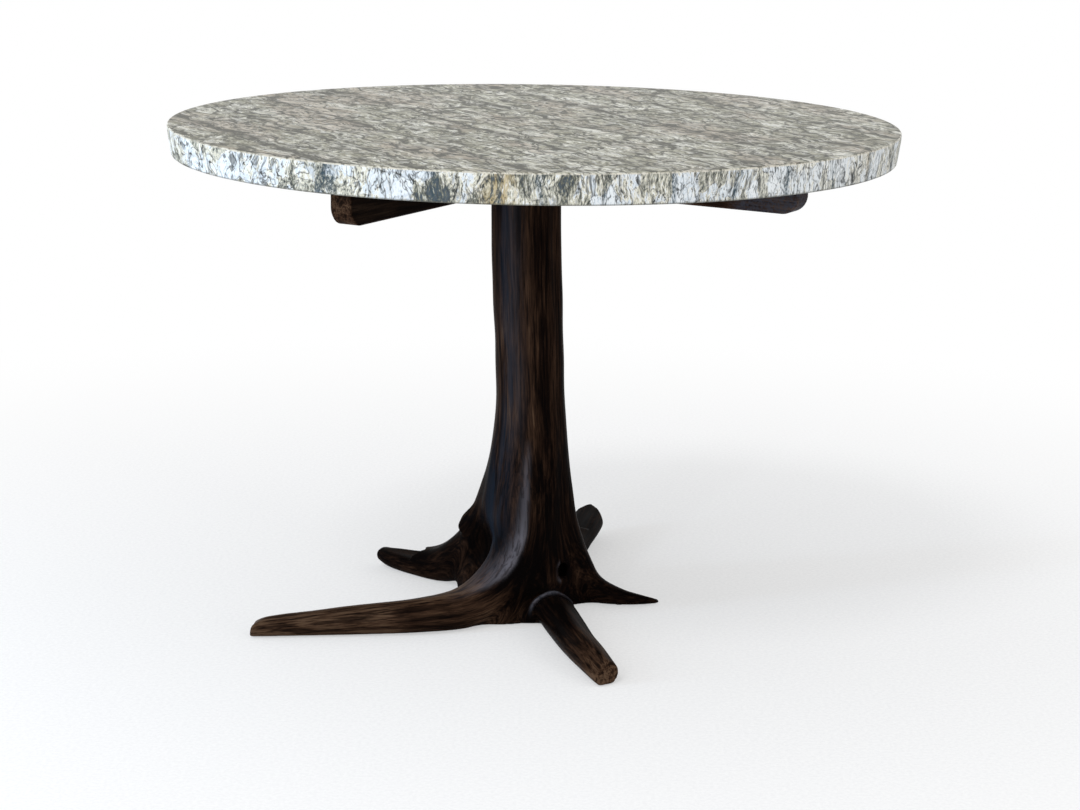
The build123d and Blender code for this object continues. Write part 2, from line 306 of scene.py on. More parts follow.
cuts, x, y, z = block((-0.17, -0.15, -0.02), (0.17, 0.15, 0.72))
wood[cuts] = trunk_distance(x, y, trunk_rows(z.ravel())[None, None, :, :])
blends = {
    "front_left": 0.030, "back_left": 0.030, "back_right": 0.026, "right": 0.026, "front": 0.008,
    "toe": 0.040, "burl": 0.010,
}
for name, line in root_lines.items():
    margin = line[:, 3].max() + 0.040
    cuts, x, y, z = block(line[:, :3].min(0) - margin, line[:, :3].max(0) + margin)
    own = root_distance(x, y, z, line)
    if name == "front":
        # The lip is a ring a little outside this root, and a groove is turned into the root in front of it
        lip = np.hypot(own, before_lip(x, y)) - np.interp(x, lip_span, lip_radii)
        wood[cuts] = smooth_least(wood[cuts], lip, 0.006)
    wood[cuts] = smooth_least(wood[cuts], own, blends[name])
    if name == "front":
        take_out(cuts, np.hypot(own + 0.001, before_lip(x, y) + groove_place) - groove_radius, 0.003)
print("grid", tuple(grid_count), "cell", cell)


# %% [markdown]
# Holes and saw cuts come next. A hole is an egg-shaped field taken out of the wood, and a saw cut takes out
# what lies beyond a plane, or beyond two where the end has a slope behind its crest. Modelled as blades, the
# cuts would leave razor edges. A smooth minimum gives each of them a slightly worn one.

# %% Knot hole, hollow between the left roots and sawn tips
knot_middle, knot_radii = (0.0544, -0.070, 0.0622), (0.0085, 0.045, 0.0140)
left_hollow_middle, left_hollow_radii = (-0.082, -0.026, 0.088), (0.028, 0.040, 0.050)
# Each sawn tip: the corners of its part of the grid, and its cuts. A cut has the rounding of its edge and its
# planes, each a point and the direction that it faces
sawn_tips = {
    "front": ((0.04, -0.46, -0.02), (0.18, -0.33, 0.06), [
        (0.002, ((0.116, -0.414, 0.014), (0.50, -0.75, 0.40))),
        (0.002, ((0.095, -0.385, 0.031), (-0.42, -0.35, 0.84))),
    ]),
    "front_left": ((-0.47, -0.25, -0.02), (-0.36, -0.17, 0.06), [
        (0.003, ((-0.4195, -0.206, 0.010), (-0.97, 0.10, 0.22))),
        (0.003, ((-0.410, -0.206, 0.0235), (-0.45, 0.05, 0.89))),
    ]),
    "back_left": ((-0.30, 0.12, -0.02), (-0.17, 0.26, 0.09), [
        (0.002, ((-0.232, 0.190, 0.036), (-0.10, -0.14, 0.98))),
    ]),
    "back_right": ((0.02, 0.10, -0.02), (0.18, 0.45, 0.12), [
        (0.002, ((0.100, 0.330, 0.047), (-0.10, -0.08, 0.99)), ((0.100, 0.275, 0.042), (0, 0.42, 0.91))),
        (0.002, ((0.1085, 0.408, 0.030), (0.92, 0.38, 0.12))),
        (0.002, ((0.1085, 0.408, 0.030), (-0.72, 0.68, 0.10))),
    ]),
}


def carve(middle, radii, blend):
    """Takes an egg-shaped hollow out of the wood, with a rounded edge."""
    reach = np.array(radii) * 2 + blend
    cuts, x, y, z = block(np.array(middle) - reach, np.array(middle) + reach)
    spread = np.sqrt(sum(((v - m) / r) ** 2 for v, m, r in zip((x, y, z), middle, radii))) + 1e-6
    take_out(cuts, (spread - 1) * min(radii), blend)


def beyond_plane(x, y, z, point, direction):
    """Distance beyond a plane: the offset from its point, measured along its direction."""
    return sum((value - start) * part for value, start, part in zip((x, y, z), point, unit(direction)))


carve(left_hollow_middle, left_hollow_radii, 0.022)
carve(knot_middle, knot_radii, 0.004)
for name, (low, high, saw_cuts) in sawn_tips.items():
    cuts, x, y, z = block(low, high)
    for blend, *planes in saw_cuts:
        beyond = np.minimum.reduce([beyond_plane(x, y, z, *plane) for plane in planes])
        take_out(cuts, -beyond, blend)
    print("sawn", name, "cuts", len(saw_cuts))


# %% [markdown]
# Next the surface is drawn where the field passes through zero. Every cube whose corners lie on both sides
# gets one point, the mean of the places where its edges cross zero, and every crossed edge of the grid gets
# one face from the four cubes round it. This way is known as surface nets, and it needs no loop over the
# cubes.

# %% Surface of the field
cube_corners = list(np.ndindex(2, 2, 2))


def surface_net(field, low, step):
    """Points and faces where the field passes zero: one point per crossed cube, one face per crossed edge."""
    inside = field < 0
    size = np.array(field.shape) - 1
    parts = [tuple(slice(c, c + s) for c, s in zip(corner, size)) for corner in cube_corners]
    filled = sum(inside[part].astype(np.uint8) for part in parts)
    crossed = (filled > 0) & (filled < 8)
    number = np.full(size, -1, dtype=np.int64)
    base = np.argwhere(crossed)
    number[crossed] = np.arange(len(base))
    total, count = np.zeros((len(base), 3)), np.zeros(len(base))
    for first in cube_corners:
        for axis in range(3):
            if first[axis]:
                continue
            second = tuple(first[i] + (i == axis) for i in range(3))
            at_first, at_second = (field[tuple((base + np.array(o)).T)] for o in (first, second))
            cross = (at_first < 0) != (at_second < 0)
            share = np.where(cross, at_first / np.where(cross, at_first - at_second, 1), 0)
            place = np.array(first) + share[:, None] * (np.arange(3) == axis)
            total += place * cross[:, None]
            count += cross
    points = low + step * (base + total / count[:, None])
    faces = []
    for axis in range(3):
        lower = tuple(slice(int(i != axis), s) for i, s in enumerate(size))
        upper = tuple(slice(1, s + (i == axis)) for i, s in enumerate(size))
        # The four cubes round an edge along this axis, as steps back from the cube at its start
        ring = np.zeros((4, 3), dtype=int)
        ring[:, [(axis + 1) % 3, (axis + 2) % 3]] = (1, 1), (0, 1), (0, 0), (1, 0)
        start, end = inside[lower], inside[upper]
        for wanted, steps in ((start & ~end, ring), (~start & end, ring[::-1])):
            at = np.argwhere(wanted) + (np.arange(3) != axis)
            faces.append(np.stack([number[tuple((at - back).T)] for back in steps], axis=1))
    return points, np.concatenate(faces)


def relax(points, faces, share, rounds):
    """Moves points part of the way to the mean of their neighbours, then a little further back than that."""
    first, second = faces.ravel(), np.roll(faces, -1, axis=1).ravel()
    ends, others = np.concatenate([first, second]), np.concatenate([second, first])
    count = np.bincount(ends, minlength=len(points))[:, None]
    for step in [share, -share * 1.02] * rounds:
        total = np.stack([np.bincount(ends, points[others, i], len(points)) for i in range(3)], axis=1)
        points = points + step * (total / count - points)
    return points


def point_normals(points, faces):
    """The mean direction of the faces at each point, from the cross product of each face's diagonals."""
    across = np.cross(points[faces[:, 2]] - points[faces[:, 0]], points[faces[:, 3]] - points[faces[:, 1]])
    sums = [np.bincount(faces.ravel(), np.repeat(across[:, i], 4), len(points)) for i in range(3)]
    normals = np.stack(sums, axis=1)
    return normals / (np.linalg.norm(normals, axis=1, keepdims=True) + 1e-12)


# %% [markdown]
# The soles are flat, the trunk's top is level, and a cross-shaped housing is cut into it for the arms. A
# smooth minimum would round these cuts. The larger of two plain distances is used instead, and leaves them
# sharp.

# %% Level cuts, housing and the finished net
arm_turn = math.radians(-30)
cross_middle = (-0.026, -0.006)
housing_half, housing_floor = 0.0192, trunk_top - 0.0205
cuts, x, y, z = block((-0.12, -0.12, 0.60), (0.12, 0.12, 0.72))
along = (x - cross_middle[0]) * math.cos(arm_turn) + (y - cross_middle[1]) * math.sin(arm_turn)
beside = (y - cross_middle[1]) * math.cos(arm_turn) - (x - cross_middle[0]) * math.sin(arm_turn)
housing = np.maximum(np.minimum(np.abs(along), np.abs(beside)) - housing_half, housing_floor - z)
wood[cuts] = np.maximum(np.maximum(wood[cuts], -housing), z - trunk_top)
wood = np.maximum(wood, (sole_height - axes[2])[None, None, :])
points, faces = surface_net(wood, grid_low, cell)
points = relax(points, faces, 0.5, 3)
print("net", len(points), len(faces))


# %% [markdown]
# The hollows of the stump are painted darker, as painted shade. How deep a point lies can be read from the
# field: the share of wood in a small box round the point is a half on a flat place, more in a hollow and less
# on a ridge. A running sum along each axis gives this share for the whole grid at once.

# %% How hollow each place is
def wood_share(radius):
    """The share of wood in the box of the given half width round each point of the surface."""
    share = np.pad((wood < 0).astype(np.float32), radius)
    for axis in range(3):
        total = np.cumsum(share, axis=axis, dtype=np.float64)
        ahead = np.take(total, range(2 * radius, total.shape[axis]), axis=axis)
        behind = np.take(total, range(0, total.shape[axis] - 2 * radius), axis=axis)
        share = ((ahead - behind) / (2 * radius)).astype(np.float32)
    place = (points - grid_low) / cell
    near = np.clip(place.astype(int), 0, np.array(share.shape) - 2)
    part = place - near
    result = np.zeros(len(points))
    for corner in cube_corners:
        weight = np.prod(np.where(corner, part, 1 - part), axis=1)
        result += weight * share[tuple((near + corner).T)]
    return result


# How hollow each point is: the mask of the painted shade that darkens the hollows
hollow = wood_share(round(0.024 / cell))
print("hollow", np.percentile(hollow, (1, 50, 99)).round(3))


# %% [markdown]
# The grain of a stump runs down the trunk and out along each root, which plain object coordinates can't
# follow. So every point is given its own place in the wood: two coordinates across the grain and one along
# it, which goes on from the trunk into the root. Near a fork they are blended by the distances to trunk and
# root. The same blend gives the level of brown: warm at the ends of the two front roots, and darkest low
# between the roots.

# %% Coordinates that follow the grain
# The level of brown up the trunk, and the factor on it at each turn round the trunk
trunk_browns = ((0.06, 0.16, 0.30, 0.68), (0.16, 0.32, 0.49, 0.42))
round_browns = ((0.00, 0.30, 0.50, 0.62, 0.74, 0.80, 1.00), (0.6, 0.8, 0.9, 1.1, 1.1, 0.6, 0.6))
fork_blend = 0.010
# Distances from each root's end, and the level of brown of the root there
root_browns = {
    "front_left": ((0.00, 0.30, 0.345, 0.385, 0.42), (0.92, 0.84, 0.84, 0.34, 0.08)),
    "back_left": ((0.00, 0.20), (0.24, 0.14)),
    "back_right": ((0.00, 0.20), (0.10, 0.08)),
    "right": ((0.00, 0.10, 0.17), (0.14, 0.30, 0.46)),
    "front": ((0.00, 0.17), (0.98, 0.12)),
}


def grain_places(points):
    """Coordinates across, across and along the grain, and the level of brown, from 0 for black to 1."""
    x, y, z = points.T
    rows = trunk_rows(z)
    trunk = np.column_stack([x - rows[:, 0], y - rows[:, 1], trunk_top - z])
    distances, places = [trunk_distance(x, y, rows)], [trunk]
    browns = [np.interp(z, *trunk_browns) * np.interp(turn_of(trunk[:, 0], trunk[:, 1]), *round_browns)]
    for name, root_brown in root_browns.items():
        line = root_lines[name]
        distance, across, down, along = root_distance(x, y, z, line, places=True)
        ahead_x, ahead_y = unit(line[-1, :2] - line[0, :2])
        places.append(np.column_stack([
            line[0, 0] + ahead_x * down - ahead_y * across,
            line[0, 1] + ahead_y * down + ahead_x * across,
            trunk_top - line[0, 2] + along,
        ]))
        distances.append(distance)
        browns.append(np.interp(line[-1, 5] - along, *root_brown))
    distances = np.array(distances)
    weights = np.exp(-(distances - distances.min(axis=0)) / fork_blend)
    weights /= weights.sum(axis=0)
    grain = sum(w[:, None] * p for w, p in zip(weights, places))
    return grain, sum(w * b for w, b in zip(weights, browns))


grain, brown = grain_places(points)
print("grain", grain.min(axis=0).round(3), grain.max(axis=0).round(3))


# %% [markdown]
# A sharp crest comes down the front of the trunk and bends into the longest root. A painted highlight, a
# sheen, lies along it, and on the lip and the knot's edge as well. It could be painted by hand on a picture.
# Here it
# is measured instead: how far a point lies to the right or left of the crest's line, seen from the front, and
# where along the line it is nearest.

# %% Crest and painted sheen
# The crest's line as x and height in metres
crest_line = np.array([
    (0.001, 0.300), (-0.002, 0.250), (-0.0041, 0.2221), (-0.0042, 0.192), (-0.005, 0.162), (-0.007, 0.1325),
    (-0.0145, 0.1107), (-0.0235, 0.0927), (-0.038, 0.0774), (-0.062, 0.066), (-0.095, 0.057), (-0.145, 0.050),
])
# At heights along the crest: the width of its sheen at the left, its strength, and how far it stands out
left_widths = ((0.07, 0.10, 0.20), (0.018, 0.015, 0.008))
crest_strengths = ((0.052, 0.067, 0.085, 0.125, 0.16, 0.23, 0.28), (0, 0.45, 0.85, 0.85, 0.50, 0.38, 0))
crest_heights = ((0.055, 0.08, 0.20, 0.29), (0, 0.0034, 0.0026, 0))
right_width = 0.0040


def beside_crest(points):
    """How far each point lies right of the crest, less than 0 for left of it, and where it is nearest."""
    x, _, z = points.T
    beside, level = np.full(len(x), 1.0), np.zeros(len(x))
    for start, end in zip(crest_line[:-1], crest_line[1:]):
        reach = end - start
        share = np.clip(((x - start[0]) * reach[0] + (z - start[1]) * reach[1]) / (reach @ reach), 0, 1)
        right, above = x - start[0] - share * reach[0], z - start[1] - share * reach[1]
        distance = np.hypot(right, above)
        closer = distance < np.abs(beside)
        beside = np.where(closer, distance * np.sign(above * reach[0] - right * reach[1]), beside)
        level = np.where(closer, start[1] + share * reach[1], level)
    return beside, level


def bell(value, middle, width):
    """One at the middle, and falling off softly on both sides over about the given width."""
    return np.exp(-((value - middle) / width) ** 2)


def fade(value, start, width):
    """Nothing up to the start, one from the start plus the width on, and a straight line between."""
    return np.clip((value - start) / width, 0, 1)


def painted_sheen_places(points, beside, level):
    """Painted highlight on crest, trunk front, lip and knot, and painted blue reflection from crest to left
    edge.
    """
    x, y, z = points.T
    width = np.where(beside > 0, right_width, np.interp(level, *left_widths))
    crest = bell(beside, 0, width) * np.interp(level, *crest_strengths) * fade(-y, 0.03, 0.02)
    rows = trunk_rows(z)
    turn = turn_of(x - rows[:, 0], y - rows[:, 1])
    side = bell(turn, 0.69, 0.040) * np.interp(z, (0.24, 0.34, 0.66), (0, 1, 0.8))
    lip = bell(root_distance(x, y, z, root_lines["front"]), 0.0050, 0.003)
    lip *= bell(before_lip(x, y), -0.003, 0.003) * np.interp(x, (0.030, 0.060), (1, 0.3)) * (z > 0.010)
    from_knot = np.hypot((x - knot_middle[0]) / knot_radii[0], (z - knot_middle[2]) / knot_radii[2])
    knot_rim_highlight = bell(from_knot, 1.15, 0.22) * (y < -0.05) * (y > -0.14)
    knot_rim_highlight *= np.clip((np.abs(z - knot_middle[2]) - 0.004) / 0.008, 0.2, 1)
    # Painted reflection: a blue band on the trunk's left side, left of the crest, stands for a reflected
    # window
    blue_reflection = bell(turn, np.interp(z, (0.20, 0.35), (0.61, 0.645)), np.interp(z, (0.20, 0.35), (0.075, 0.042)))
    blue_reflection *= np.interp(z, (0.06, 0.12, 0.30, 0.66), (0, 1, 0.75, 0.65)) * fade(-beside, 0, 0.01)
    # Painted highlight on the crest, a band down the trunk's front, the lip and the knot's rim; painted blue
    # reflection on the left side and the lip
    return np.clip(crest + 0.11 * side + 0.70 * lip + 0.22 * knot_rim_highlight, 0, 1), np.clip(blue_reflection + lip, 0, 1)


beside, level = beside_crest(points)
painted_sheen, blue_reflection = painted_sheen_places(points, beside, level)
# Painted shade: the wood right of the crest is coloured darker than the rest, most of all low down
shade_right_of_crest = fade(beside, 0, 0.012) * fade(-beside, -0.062, 0.025) * (points[:, 1] < -0.03)
brown = brown - shade_right_of_crest * np.interp(points[:, 2], (0.02, 0.12, 0.24, 0.29), (0.32, 0.14, 0.03, 0))
print("mean sheen", round(float(painted_sheen.mean()), 4), "mean cool", round(float(blue_reflection.mean()), 4))


# %% [markdown]
# The surface itself is not smooth either. Worked wood has long shallow flutes along its grain, lumps across
# it and fine fibres, and the crest stands a little proud. All are moves along the normals. They fade out near
# the flat soles and the arms' housing, where the wood has to fit.

# %% Relief and the finished stump
normals = point_normals(points, faces)
flutes = waves(grain * (1, 1, 0.10), 24, 0.018, 0.050, 5) * 0.0009
lumps = waves(points, 20, 0.050, 0.140, 6) * 0.0004
fibres = waves(grain * (1, 1, 0.04), 30, 0.006, 0.012, 7) * 0.00008
# The crest is steep at its right and gentle at its left
slope = np.where(beside > 0, 0.009, np.interp(level, (0.07, 0.20), (0.030, 0.018)))
crest = np.exp(-np.abs(beside) / slope) * np.interp(level, *crest_heights) * fade(-points[:, 1], 0.03, 0.02)
free = fade(points[:, 2], sole_height + 0.002, 0.010) * fade(-points[:, 2], 0.03 - trunk_top, 0.02)
points = points + normals * ((flutes + lumps + fibres + crest) * free)[:, None]
points[:, 2] = np.maximum(points[:, 2], sole_height)
stump = mesh_object("stump_wood", points, [faces], {
    "grain": grain, "brown": brown, "painted_sheen": painted_sheen, "blue_reflection": blue_reflection, "hollow": hollow,
})
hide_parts("stump")
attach(stump, "root")


# %% [markdown]
# The stone is a disc whose rim leans in a little. It could be a cylinder with a bevel. A profile turned round
# the middle gives a say over every edge: the top, a small arris, the leaning rim, an eased lower edge and the
# underside. The rim was worked by hand, so it waves by a few tenths of a millimetre, always inwards from the
# measured size.

# %% The stone disc
top_height, stone_thickness, stone_radius = 0.762, 0.045, 0.5587
rim_slope, upright_share = 0.005, 0.08
arris_radius, ease_radius = 0.0025, 0.003
wave_start, wave_depth = 0.540, 0.0004


def stone_profile():
    """Radius and height from the middle of the top, over the rim, to the middle of the underside."""
    flat_radius, inner = stone_radius - arris_radius, stone_radius - rim_slope
    bottom, rim_height = top_height - stone_thickness, stone_thickness - arris_radius - ease_radius
    turn = np.linspace(0, np.pi / 2, 7)[1:]
    flat = np.linspace(0, flat_radius, 24)[1:] ** 0.5 * flat_radius**0.5
    down = np.linspace(0, 1, 20)[1:-1]
    lean = rim_slope * np.clip((down - upright_share) / (1 - upright_share), 0, 1) ** 1.1
    under = np.linspace(inner - ease_radius, 0, 8)[1:-1]
    return np.hstack([
        (flat, np.full(len(flat), top_height)),
        (flat_radius + arris_radius * np.sin(turn), top_height - arris_radius * (1 - np.cos(turn))),
        (stone_radius - lean, top_height - arris_radius - down * rim_height),
        (inner - ease_radius * (1 - np.cos(turn)), bottom + ease_radius * (1 - np.sin(turn))),
        (under, np.full(len(under), bottom)),
    ]).T


profile = stone_profile()
around = np.linspace(0, 2 * np.pi, 720, endpoint=False)
radius, height = profile[:, 0][:, None], profile[:, 1][:, None]
rings = np.stack([radius * np.cos(around), radius * np.sin(around), height + 0 * around], axis=2)
rings = rings.reshape(-1, 3)
from_middle = np.hypot(rings[:, 0], rings[:, 1])
edge = np.clip((from_middle - wave_start) / 0.008, 0, 1) * (rings[:, 2] < top_height - 0.0002)
wave = waves(rings, 24, 0.030, 0.150, 11) * 0.35 + waves(rings, 30, 0.006, 0.020, 12) * 0.10 - 1.0
outward = rings * (1, 1, 0) / (from_middle[:, None] + 1e-9)
rings = rings + outward * (np.minimum(wave * wave_depth, 0) * edge)[:, None]
count, steps = len(profile), len(around)
index = np.arange(count * steps).reshape(count, steps)
beyond = np.roll(index, -1, axis=1)
quads = np.stack([index[:-1], index[1:], beyond[1:], beyond[:-1]], axis=2).reshape(-1, 4)
top_fan = np.stack([np.full(steps, count * steps), index[0], beyond[0]], axis=1)
under_fan = np.stack([np.full(steps, count * steps + 1), beyond[-1], index[-1]], axis=1)
stone_points = np.vstack([rings, [(0, 0, top_height)], [(0, 0, top_height - stone_thickness)]])
stone = mesh_object("granite_slab", stone_points, [quads, top_fan, under_fan])
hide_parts("granite_top")
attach(stone, "root")


# %% [markdown]
# All the finishes are worked out by shader nodes. Wired one by one, long chains of them are hard to read, so
# small helpers let them be written as sums. A Value is a number or vector over the surface, Nodes adds to any
# tree of nodes, and a Finish is a material in the making.

# %% Sums of shader values
class Value:
    """One socket of a node. Sums and products of it add the Math nodes that they need."""

    def __init__(self, nodes, socket):
        self.nodes, self.socket = nodes, socket

    def math(self, operation, *others):
        return self.nodes.add("Math", {"operation": operation}, dict(enumerate((self, *others))))

    def __add__(self, other):
        return self.math("ADD", other)

    def __mul__(self, other):
        return self.math("MULTIPLY", other)

    def __sub__(self, other):
        return self.math("SUBTRACT", other)

    __radd__ = __add__

    def ramp(self, low, high, first=0.0, last=1.0):
        """Goes softly from first to last while the value goes from low to high, and stays there outside."""
        places = {"Value": self, "From Min": low, "From Max": high, "To Min": first, "To Max": last}
        return self.nodes.add("MapRange", {"interpolation_type": "SMOOTHSTEP"}, places)


class Nodes:
    """A tree of nodes, and short ways to add to it."""

    def __init__(self, tree):
        self.tree = tree

    def fill(self, node, values):
        """Sets a node's sockets to plain values or links them to a Value. A colour's last part is added."""
        for name, value in values.items():
            if isinstance(value, Value):
                self.tree.links.new(value.socket, node.inputs[name])
            else:
                is_colour = node.inputs[name].type == "RGBA"
                node.inputs[name].default_value = (*value, 1) if is_colour else value

    def add(self, kind, settings=None, values=None, output=0):
        """Any node: its settings first, then the values or links of its sockets."""
        node = self.tree.nodes.new("ShaderNode" + kind)
        for name, setting in (settings or {}).items():
            setattr(node, name, setting)
        self.fill(node, values or {})
        return Value(self, node.outputs[output])

    def places(self):
        """The place of each point in metres, in the object's own frame."""
        return self.add("TexCoord", output=3)

    def stored(self, name, output=2):
        """A value that is stored on the mesh's points. Output 1 is for one that has three parts."""
        return self.add("Attribute", {"attribute_name": name, "attribute_type": "GEOMETRY"}, output=output)

    def part(self, vector, which):
        """One part of a vector: 0 for the first, 2 for the last."""
        return self.add("SeparateXYZ", values={0: vector}, output=which)

    def vectors(self, operation, *vectors, output=0):
        return self.add("VectorMath", {"operation": operation}, dict(enumerate(vectors)), output)

    def noise(self, vector, scale, detail=3.0, rough=0.5, bend=0.0, output=0):
        """Soft random mottling from 0 to 1, by patches per metre: one number, or one for each direction."""
        if isinstance(scale, tuple):
            vector, scale = self.vectors("MULTIPLY", vector, scale), 1.0
        values = {"Vector": vector, "Scale": scale, "Detail": detail, "Roughness": rough, "Distortion": bend}
        return self.add("TexNoise", values=values, output=output)

    def shifts(self, vector, scale, detail, size):
        """Random shifts in all three directions, up to half the given size each way."""
        random = self.noise(vector, scale, detail, output=1)
        return self.vectors("MULTIPLY", self.vectors("SUBTRACT", random, (0.5, 0.5, 0.5)), size)

    def mix(self, share, first, second):
        """One colour passing into another."""
        return self.add("Mix", {"data_type": "RGBA"}, {0: share, 6: first, 7: second}, output=2)

    def colours(self, value, stops):
        """A colour for each value, from stops of place and colour."""
        found = self.add("ValToRGB", values={0: value})
        ramp = found.socket.node.color_ramp.elements
        ramp[0].position, ramp[1].position = stops[0][0], stops[-1][0]
        for place, _ in stops[1:-1]:
            ramp.new(place)
        for element, (_, colour) in zip(ramp, stops):
            element.color = (*colour, 1)
        return found

    def bump(self, height, depth, after=None):
        """Fine relief: height from 0 to 1 stands for so many metres, on top of an earlier relief."""
        values = {"Height": height, "Distance": depth, "Strength": 1.0}
        if after:
            values["Normal"] = after
        return self.add("Bump", values=values)


class Finish(Nodes):
    """A material in the making, with the surface shader that its nodes feed."""

    def __init__(self, name):
        self.material = bpy.data.materials.new(name)
        self.material.use_nodes = True
        super().__init__(self.material.node_tree)
        self.surface = self.tree.nodes["Principled BSDF"]
        print("finish", name)


def paint(finish, *nodes):
    """Gives the finish to pieces, or to nodes of the measured model by name."""
    for node in nodes:
        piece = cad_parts[node] if isinstance(node, str) else node
        if not piece.data.materials:
            piece.data.materials.append(finish.material)
        for place in range(len(piece.data.materials)):
            piece.data.materials[place] = finish.material
        for place in piece.material_slots:
            place.material = finish.material


# %% [markdown]
# The wood is nearly black, with brown streaks along its grain. It could be painted with one stretched noise.
# Real heartwood has more than one scale, so several are laid over each other: broad bands of red-brown,
# narrow and fine black lines, and the pores. All read the grain coordinates stored above, so the streaks turn
# with the roots.

# %% Dark streaked wood
line_black = (0.0022, 0.0016, 0.0016)
brown_stops = [
    (0.00, (0.0024, 0.0016, 0.0015)),
    (0.25, (0.0094, 0.0048, 0.0032)),
    (0.50, (0.0225, 0.0117, 0.0072)),
    (0.75, (0.0430, 0.0230, 0.0138)),
    (1.00, (0.0830, 0.0500, 0.0310)),
]


def streaked_wood(timber, vector, level):
    """Sets a finish's relief and gloss and returns its colour. The vector's last part is along the grain."""
    warp = timber.noise(vector, 9.0, 2.0)
    broad = timber.noise(vector, (46, 46, 3.8), 3.0, 0.55, 0.3)
    narrow = timber.noise(vector, (170, 170, 8.5), 4.0, 0.6, 0.4)
    fine = timber.noise(vector, (480, 480, 22), 3.0, 0.6)
    pores = timber.noise(vector, (1500, 1500, 60), 2.0)
    brown = (broad - 0.5) * 1.3 + (narrow - 0.5) * 1.2 + (fine - 0.5) * 1.0 + (warp - 0.5) * 0.6 + level
    relief = timber.bump(pores + fine * 1.5, 0.00010)
    timber.fill(timber.surface, {
        "Roughness": fine.ramp(0.3, 0.7, 0.28, 0.42),
        "Normal": timber.bump(narrow, 0.00020, relief),
        "Specular IOR Level": 0.004,
    })
    dark_lines = narrow.ramp(0.50, 0.40) * 0.50 + fine.ramp(0.48, 0.38) * 0.35
    return timber.mix(dark_lines, timber.colours(brown, brown_stops), line_black)


# %% [markdown]
# On the stump painted light is laid over the streaks by the values stored on its points. A painted blue
# reflection makes one side blue-black, a painted sheen makes the crests cool grey, and painted shade keeps
# the hollows nearly black. A plain blend would look like coloured light, so a noise along the grain breaks up
# the first two.

# %% Finish of the stump
# The colours of a painted blue reflection, a painted sheen and painted shade, in this order
painted_reflection_blue, painted_sheen_grey, painted_shade_black = (0.010, 0.016, 0.026), (0.160, 0.155, 0.182), (0.0010, 0.0008, 0.0008)
timber = Finish("streaked_heartwood")
vector = timber.stored("grain", 1)
colour = streaked_wood(timber, vector, timber.stored("brown"))
cloud = timber.noise(vector, (90, 90, 9), 3.0, 0.6)
# Painted reflection: the left side is coloured blue-black, broken up by a noise along the grain
colour = timber.mix(timber.stored("blue_reflection") * cloud.ramp(0.36, 0.56, 0.25, 0.92), colour, painted_reflection_blue)
streak = timber.noise(vector, (260, 260, 9), 4.0, 0.6, 0.3)
# Painted sheen: the crest, lip and knot rim are coloured a streaky cool grey
colour = timber.mix(timber.stored("painted_sheen") * streak.ramp(0.36, 0.58, 0.40, 1.0) * 0.90, colour, painted_sheen_grey)
# Painted shade: the deep hollows are coloured nearly black
colour = timber.mix(timber.stored("hollow").ramp(0.56, 0.70) * 0.88, colour, painted_shade_black)
timber.fill(timber.surface, {"Base Color": colour})
paint(timber, stump)


# %% [markdown]
# The arms are sawn from the same wood. They are straight, so plain object coordinates do, turned until the
# last one runs along the arm. The two ends that show differ: the right one has a speckled blue-grey dust on
# it, and the left one is brown at its sawn end, with painted shade that makes its sides nearly black.

# %% Wood of the two arms
dust_grey, side_shade_black = (0.046, 0.048, 0.062), (0.0024, 0.0016, 0.0013)
dust_start, dust_full = 0.345, 0.375
lower_arm_middle, side_shade_start, side_shade_full = 0.0195, 0.0160, 0.0176
for node, arm_direction in (("upper_arm", arm_turn), ("lower_arm", arm_turn + math.pi / 2)):
    timber = Finish(node + "_wood")
    values = {"Vector": timber.places(), "Angle": -arm_direction}
    turned = timber.add("VectorRotate", {"rotation_type": "Z_AXIS"}, values)
    length, beside, up = (timber.part(turned, which) for which in range(3))
    vector = timber.add("CombineXYZ", values={0: beside, 1: up, 2: length})
    colour = streaked_wood(timber, vector, timber.noise(timber.places(), 6.0) * 0.3 + 0.46)
    if node == "upper_arm":
        speckle = timber.noise(timber.places(), 240.0, 4.0, 0.65)
        dust = length.ramp(dust_start, dust_full) * speckle.ramp(0.40, 0.60, 0.25, 0.9)
        colour = timber.mix(dust, colour, dust_grey)
    else:
        from_middle = (beside - lower_arm_middle).math("ABSOLUTE")
        # Painted shade: the sides of this arm are coloured nearly black, its sawn end stays brown
        colour = timber.mix(from_middle.ramp(side_shade_start, side_shade_full) * 0.80, colour, side_shade_black)
    timber.fill(timber.surface, {"Base Color": colour})
    paint(timber, node)


# %% [markdown]
# The granite has layers that stand upright in the slab and run slantwise across it, so it changes quickly
# across them and slowly along them. Top and rim could have a material each. One for the whole slab, with a
# mask from the place of each point, lets the same layers run over the edge, as they do in a real slab.

# %% Layers of the stone
granite = Finish("veined_granite")
places = granite.places()
layer_turn = {"Vector": places, "Angle": math.radians(62)}
turned = granite.add("VectorRotate", {"rotation_type": "Z_AXIS"}, layer_turn)
layers = granite.vectors("ADD", turned, granite.shifts(turned, 14.0, 3.0, (0.045, 0.045, 0.02)))
upright = granite.vectors("ADD", turned, granite.shifts(turned, 14.0, 3.0, (0.022, 0.022, 0.02)))
across_layers = granite.part(layers, 1)
height_part = granite.part(places, 2)
reach = granite.vectors("LENGTH", granite.vectors("MULTIPLY", places, (1, 1, 0)), output=1)
on_rim = height_part.ramp(0.7612, 0.7600) * reach.ramp(0.548, 0.5495)


def lines(vector, scale, width, bend):
    """Thin wavy lines: where a soft noise passes its middle value, within the given width."""
    return (granite.noise(vector, scale, 3.0, 0.55, bend) - 0.5).math("ABSOLUTE").ramp(width, 0.0)


def seam(offset, width):
    """One layer that runs right across the slab, so many metres from the layer through its middle."""
    return (across_layers - offset).math("ABSOLUTE").ramp(width, 0.0)


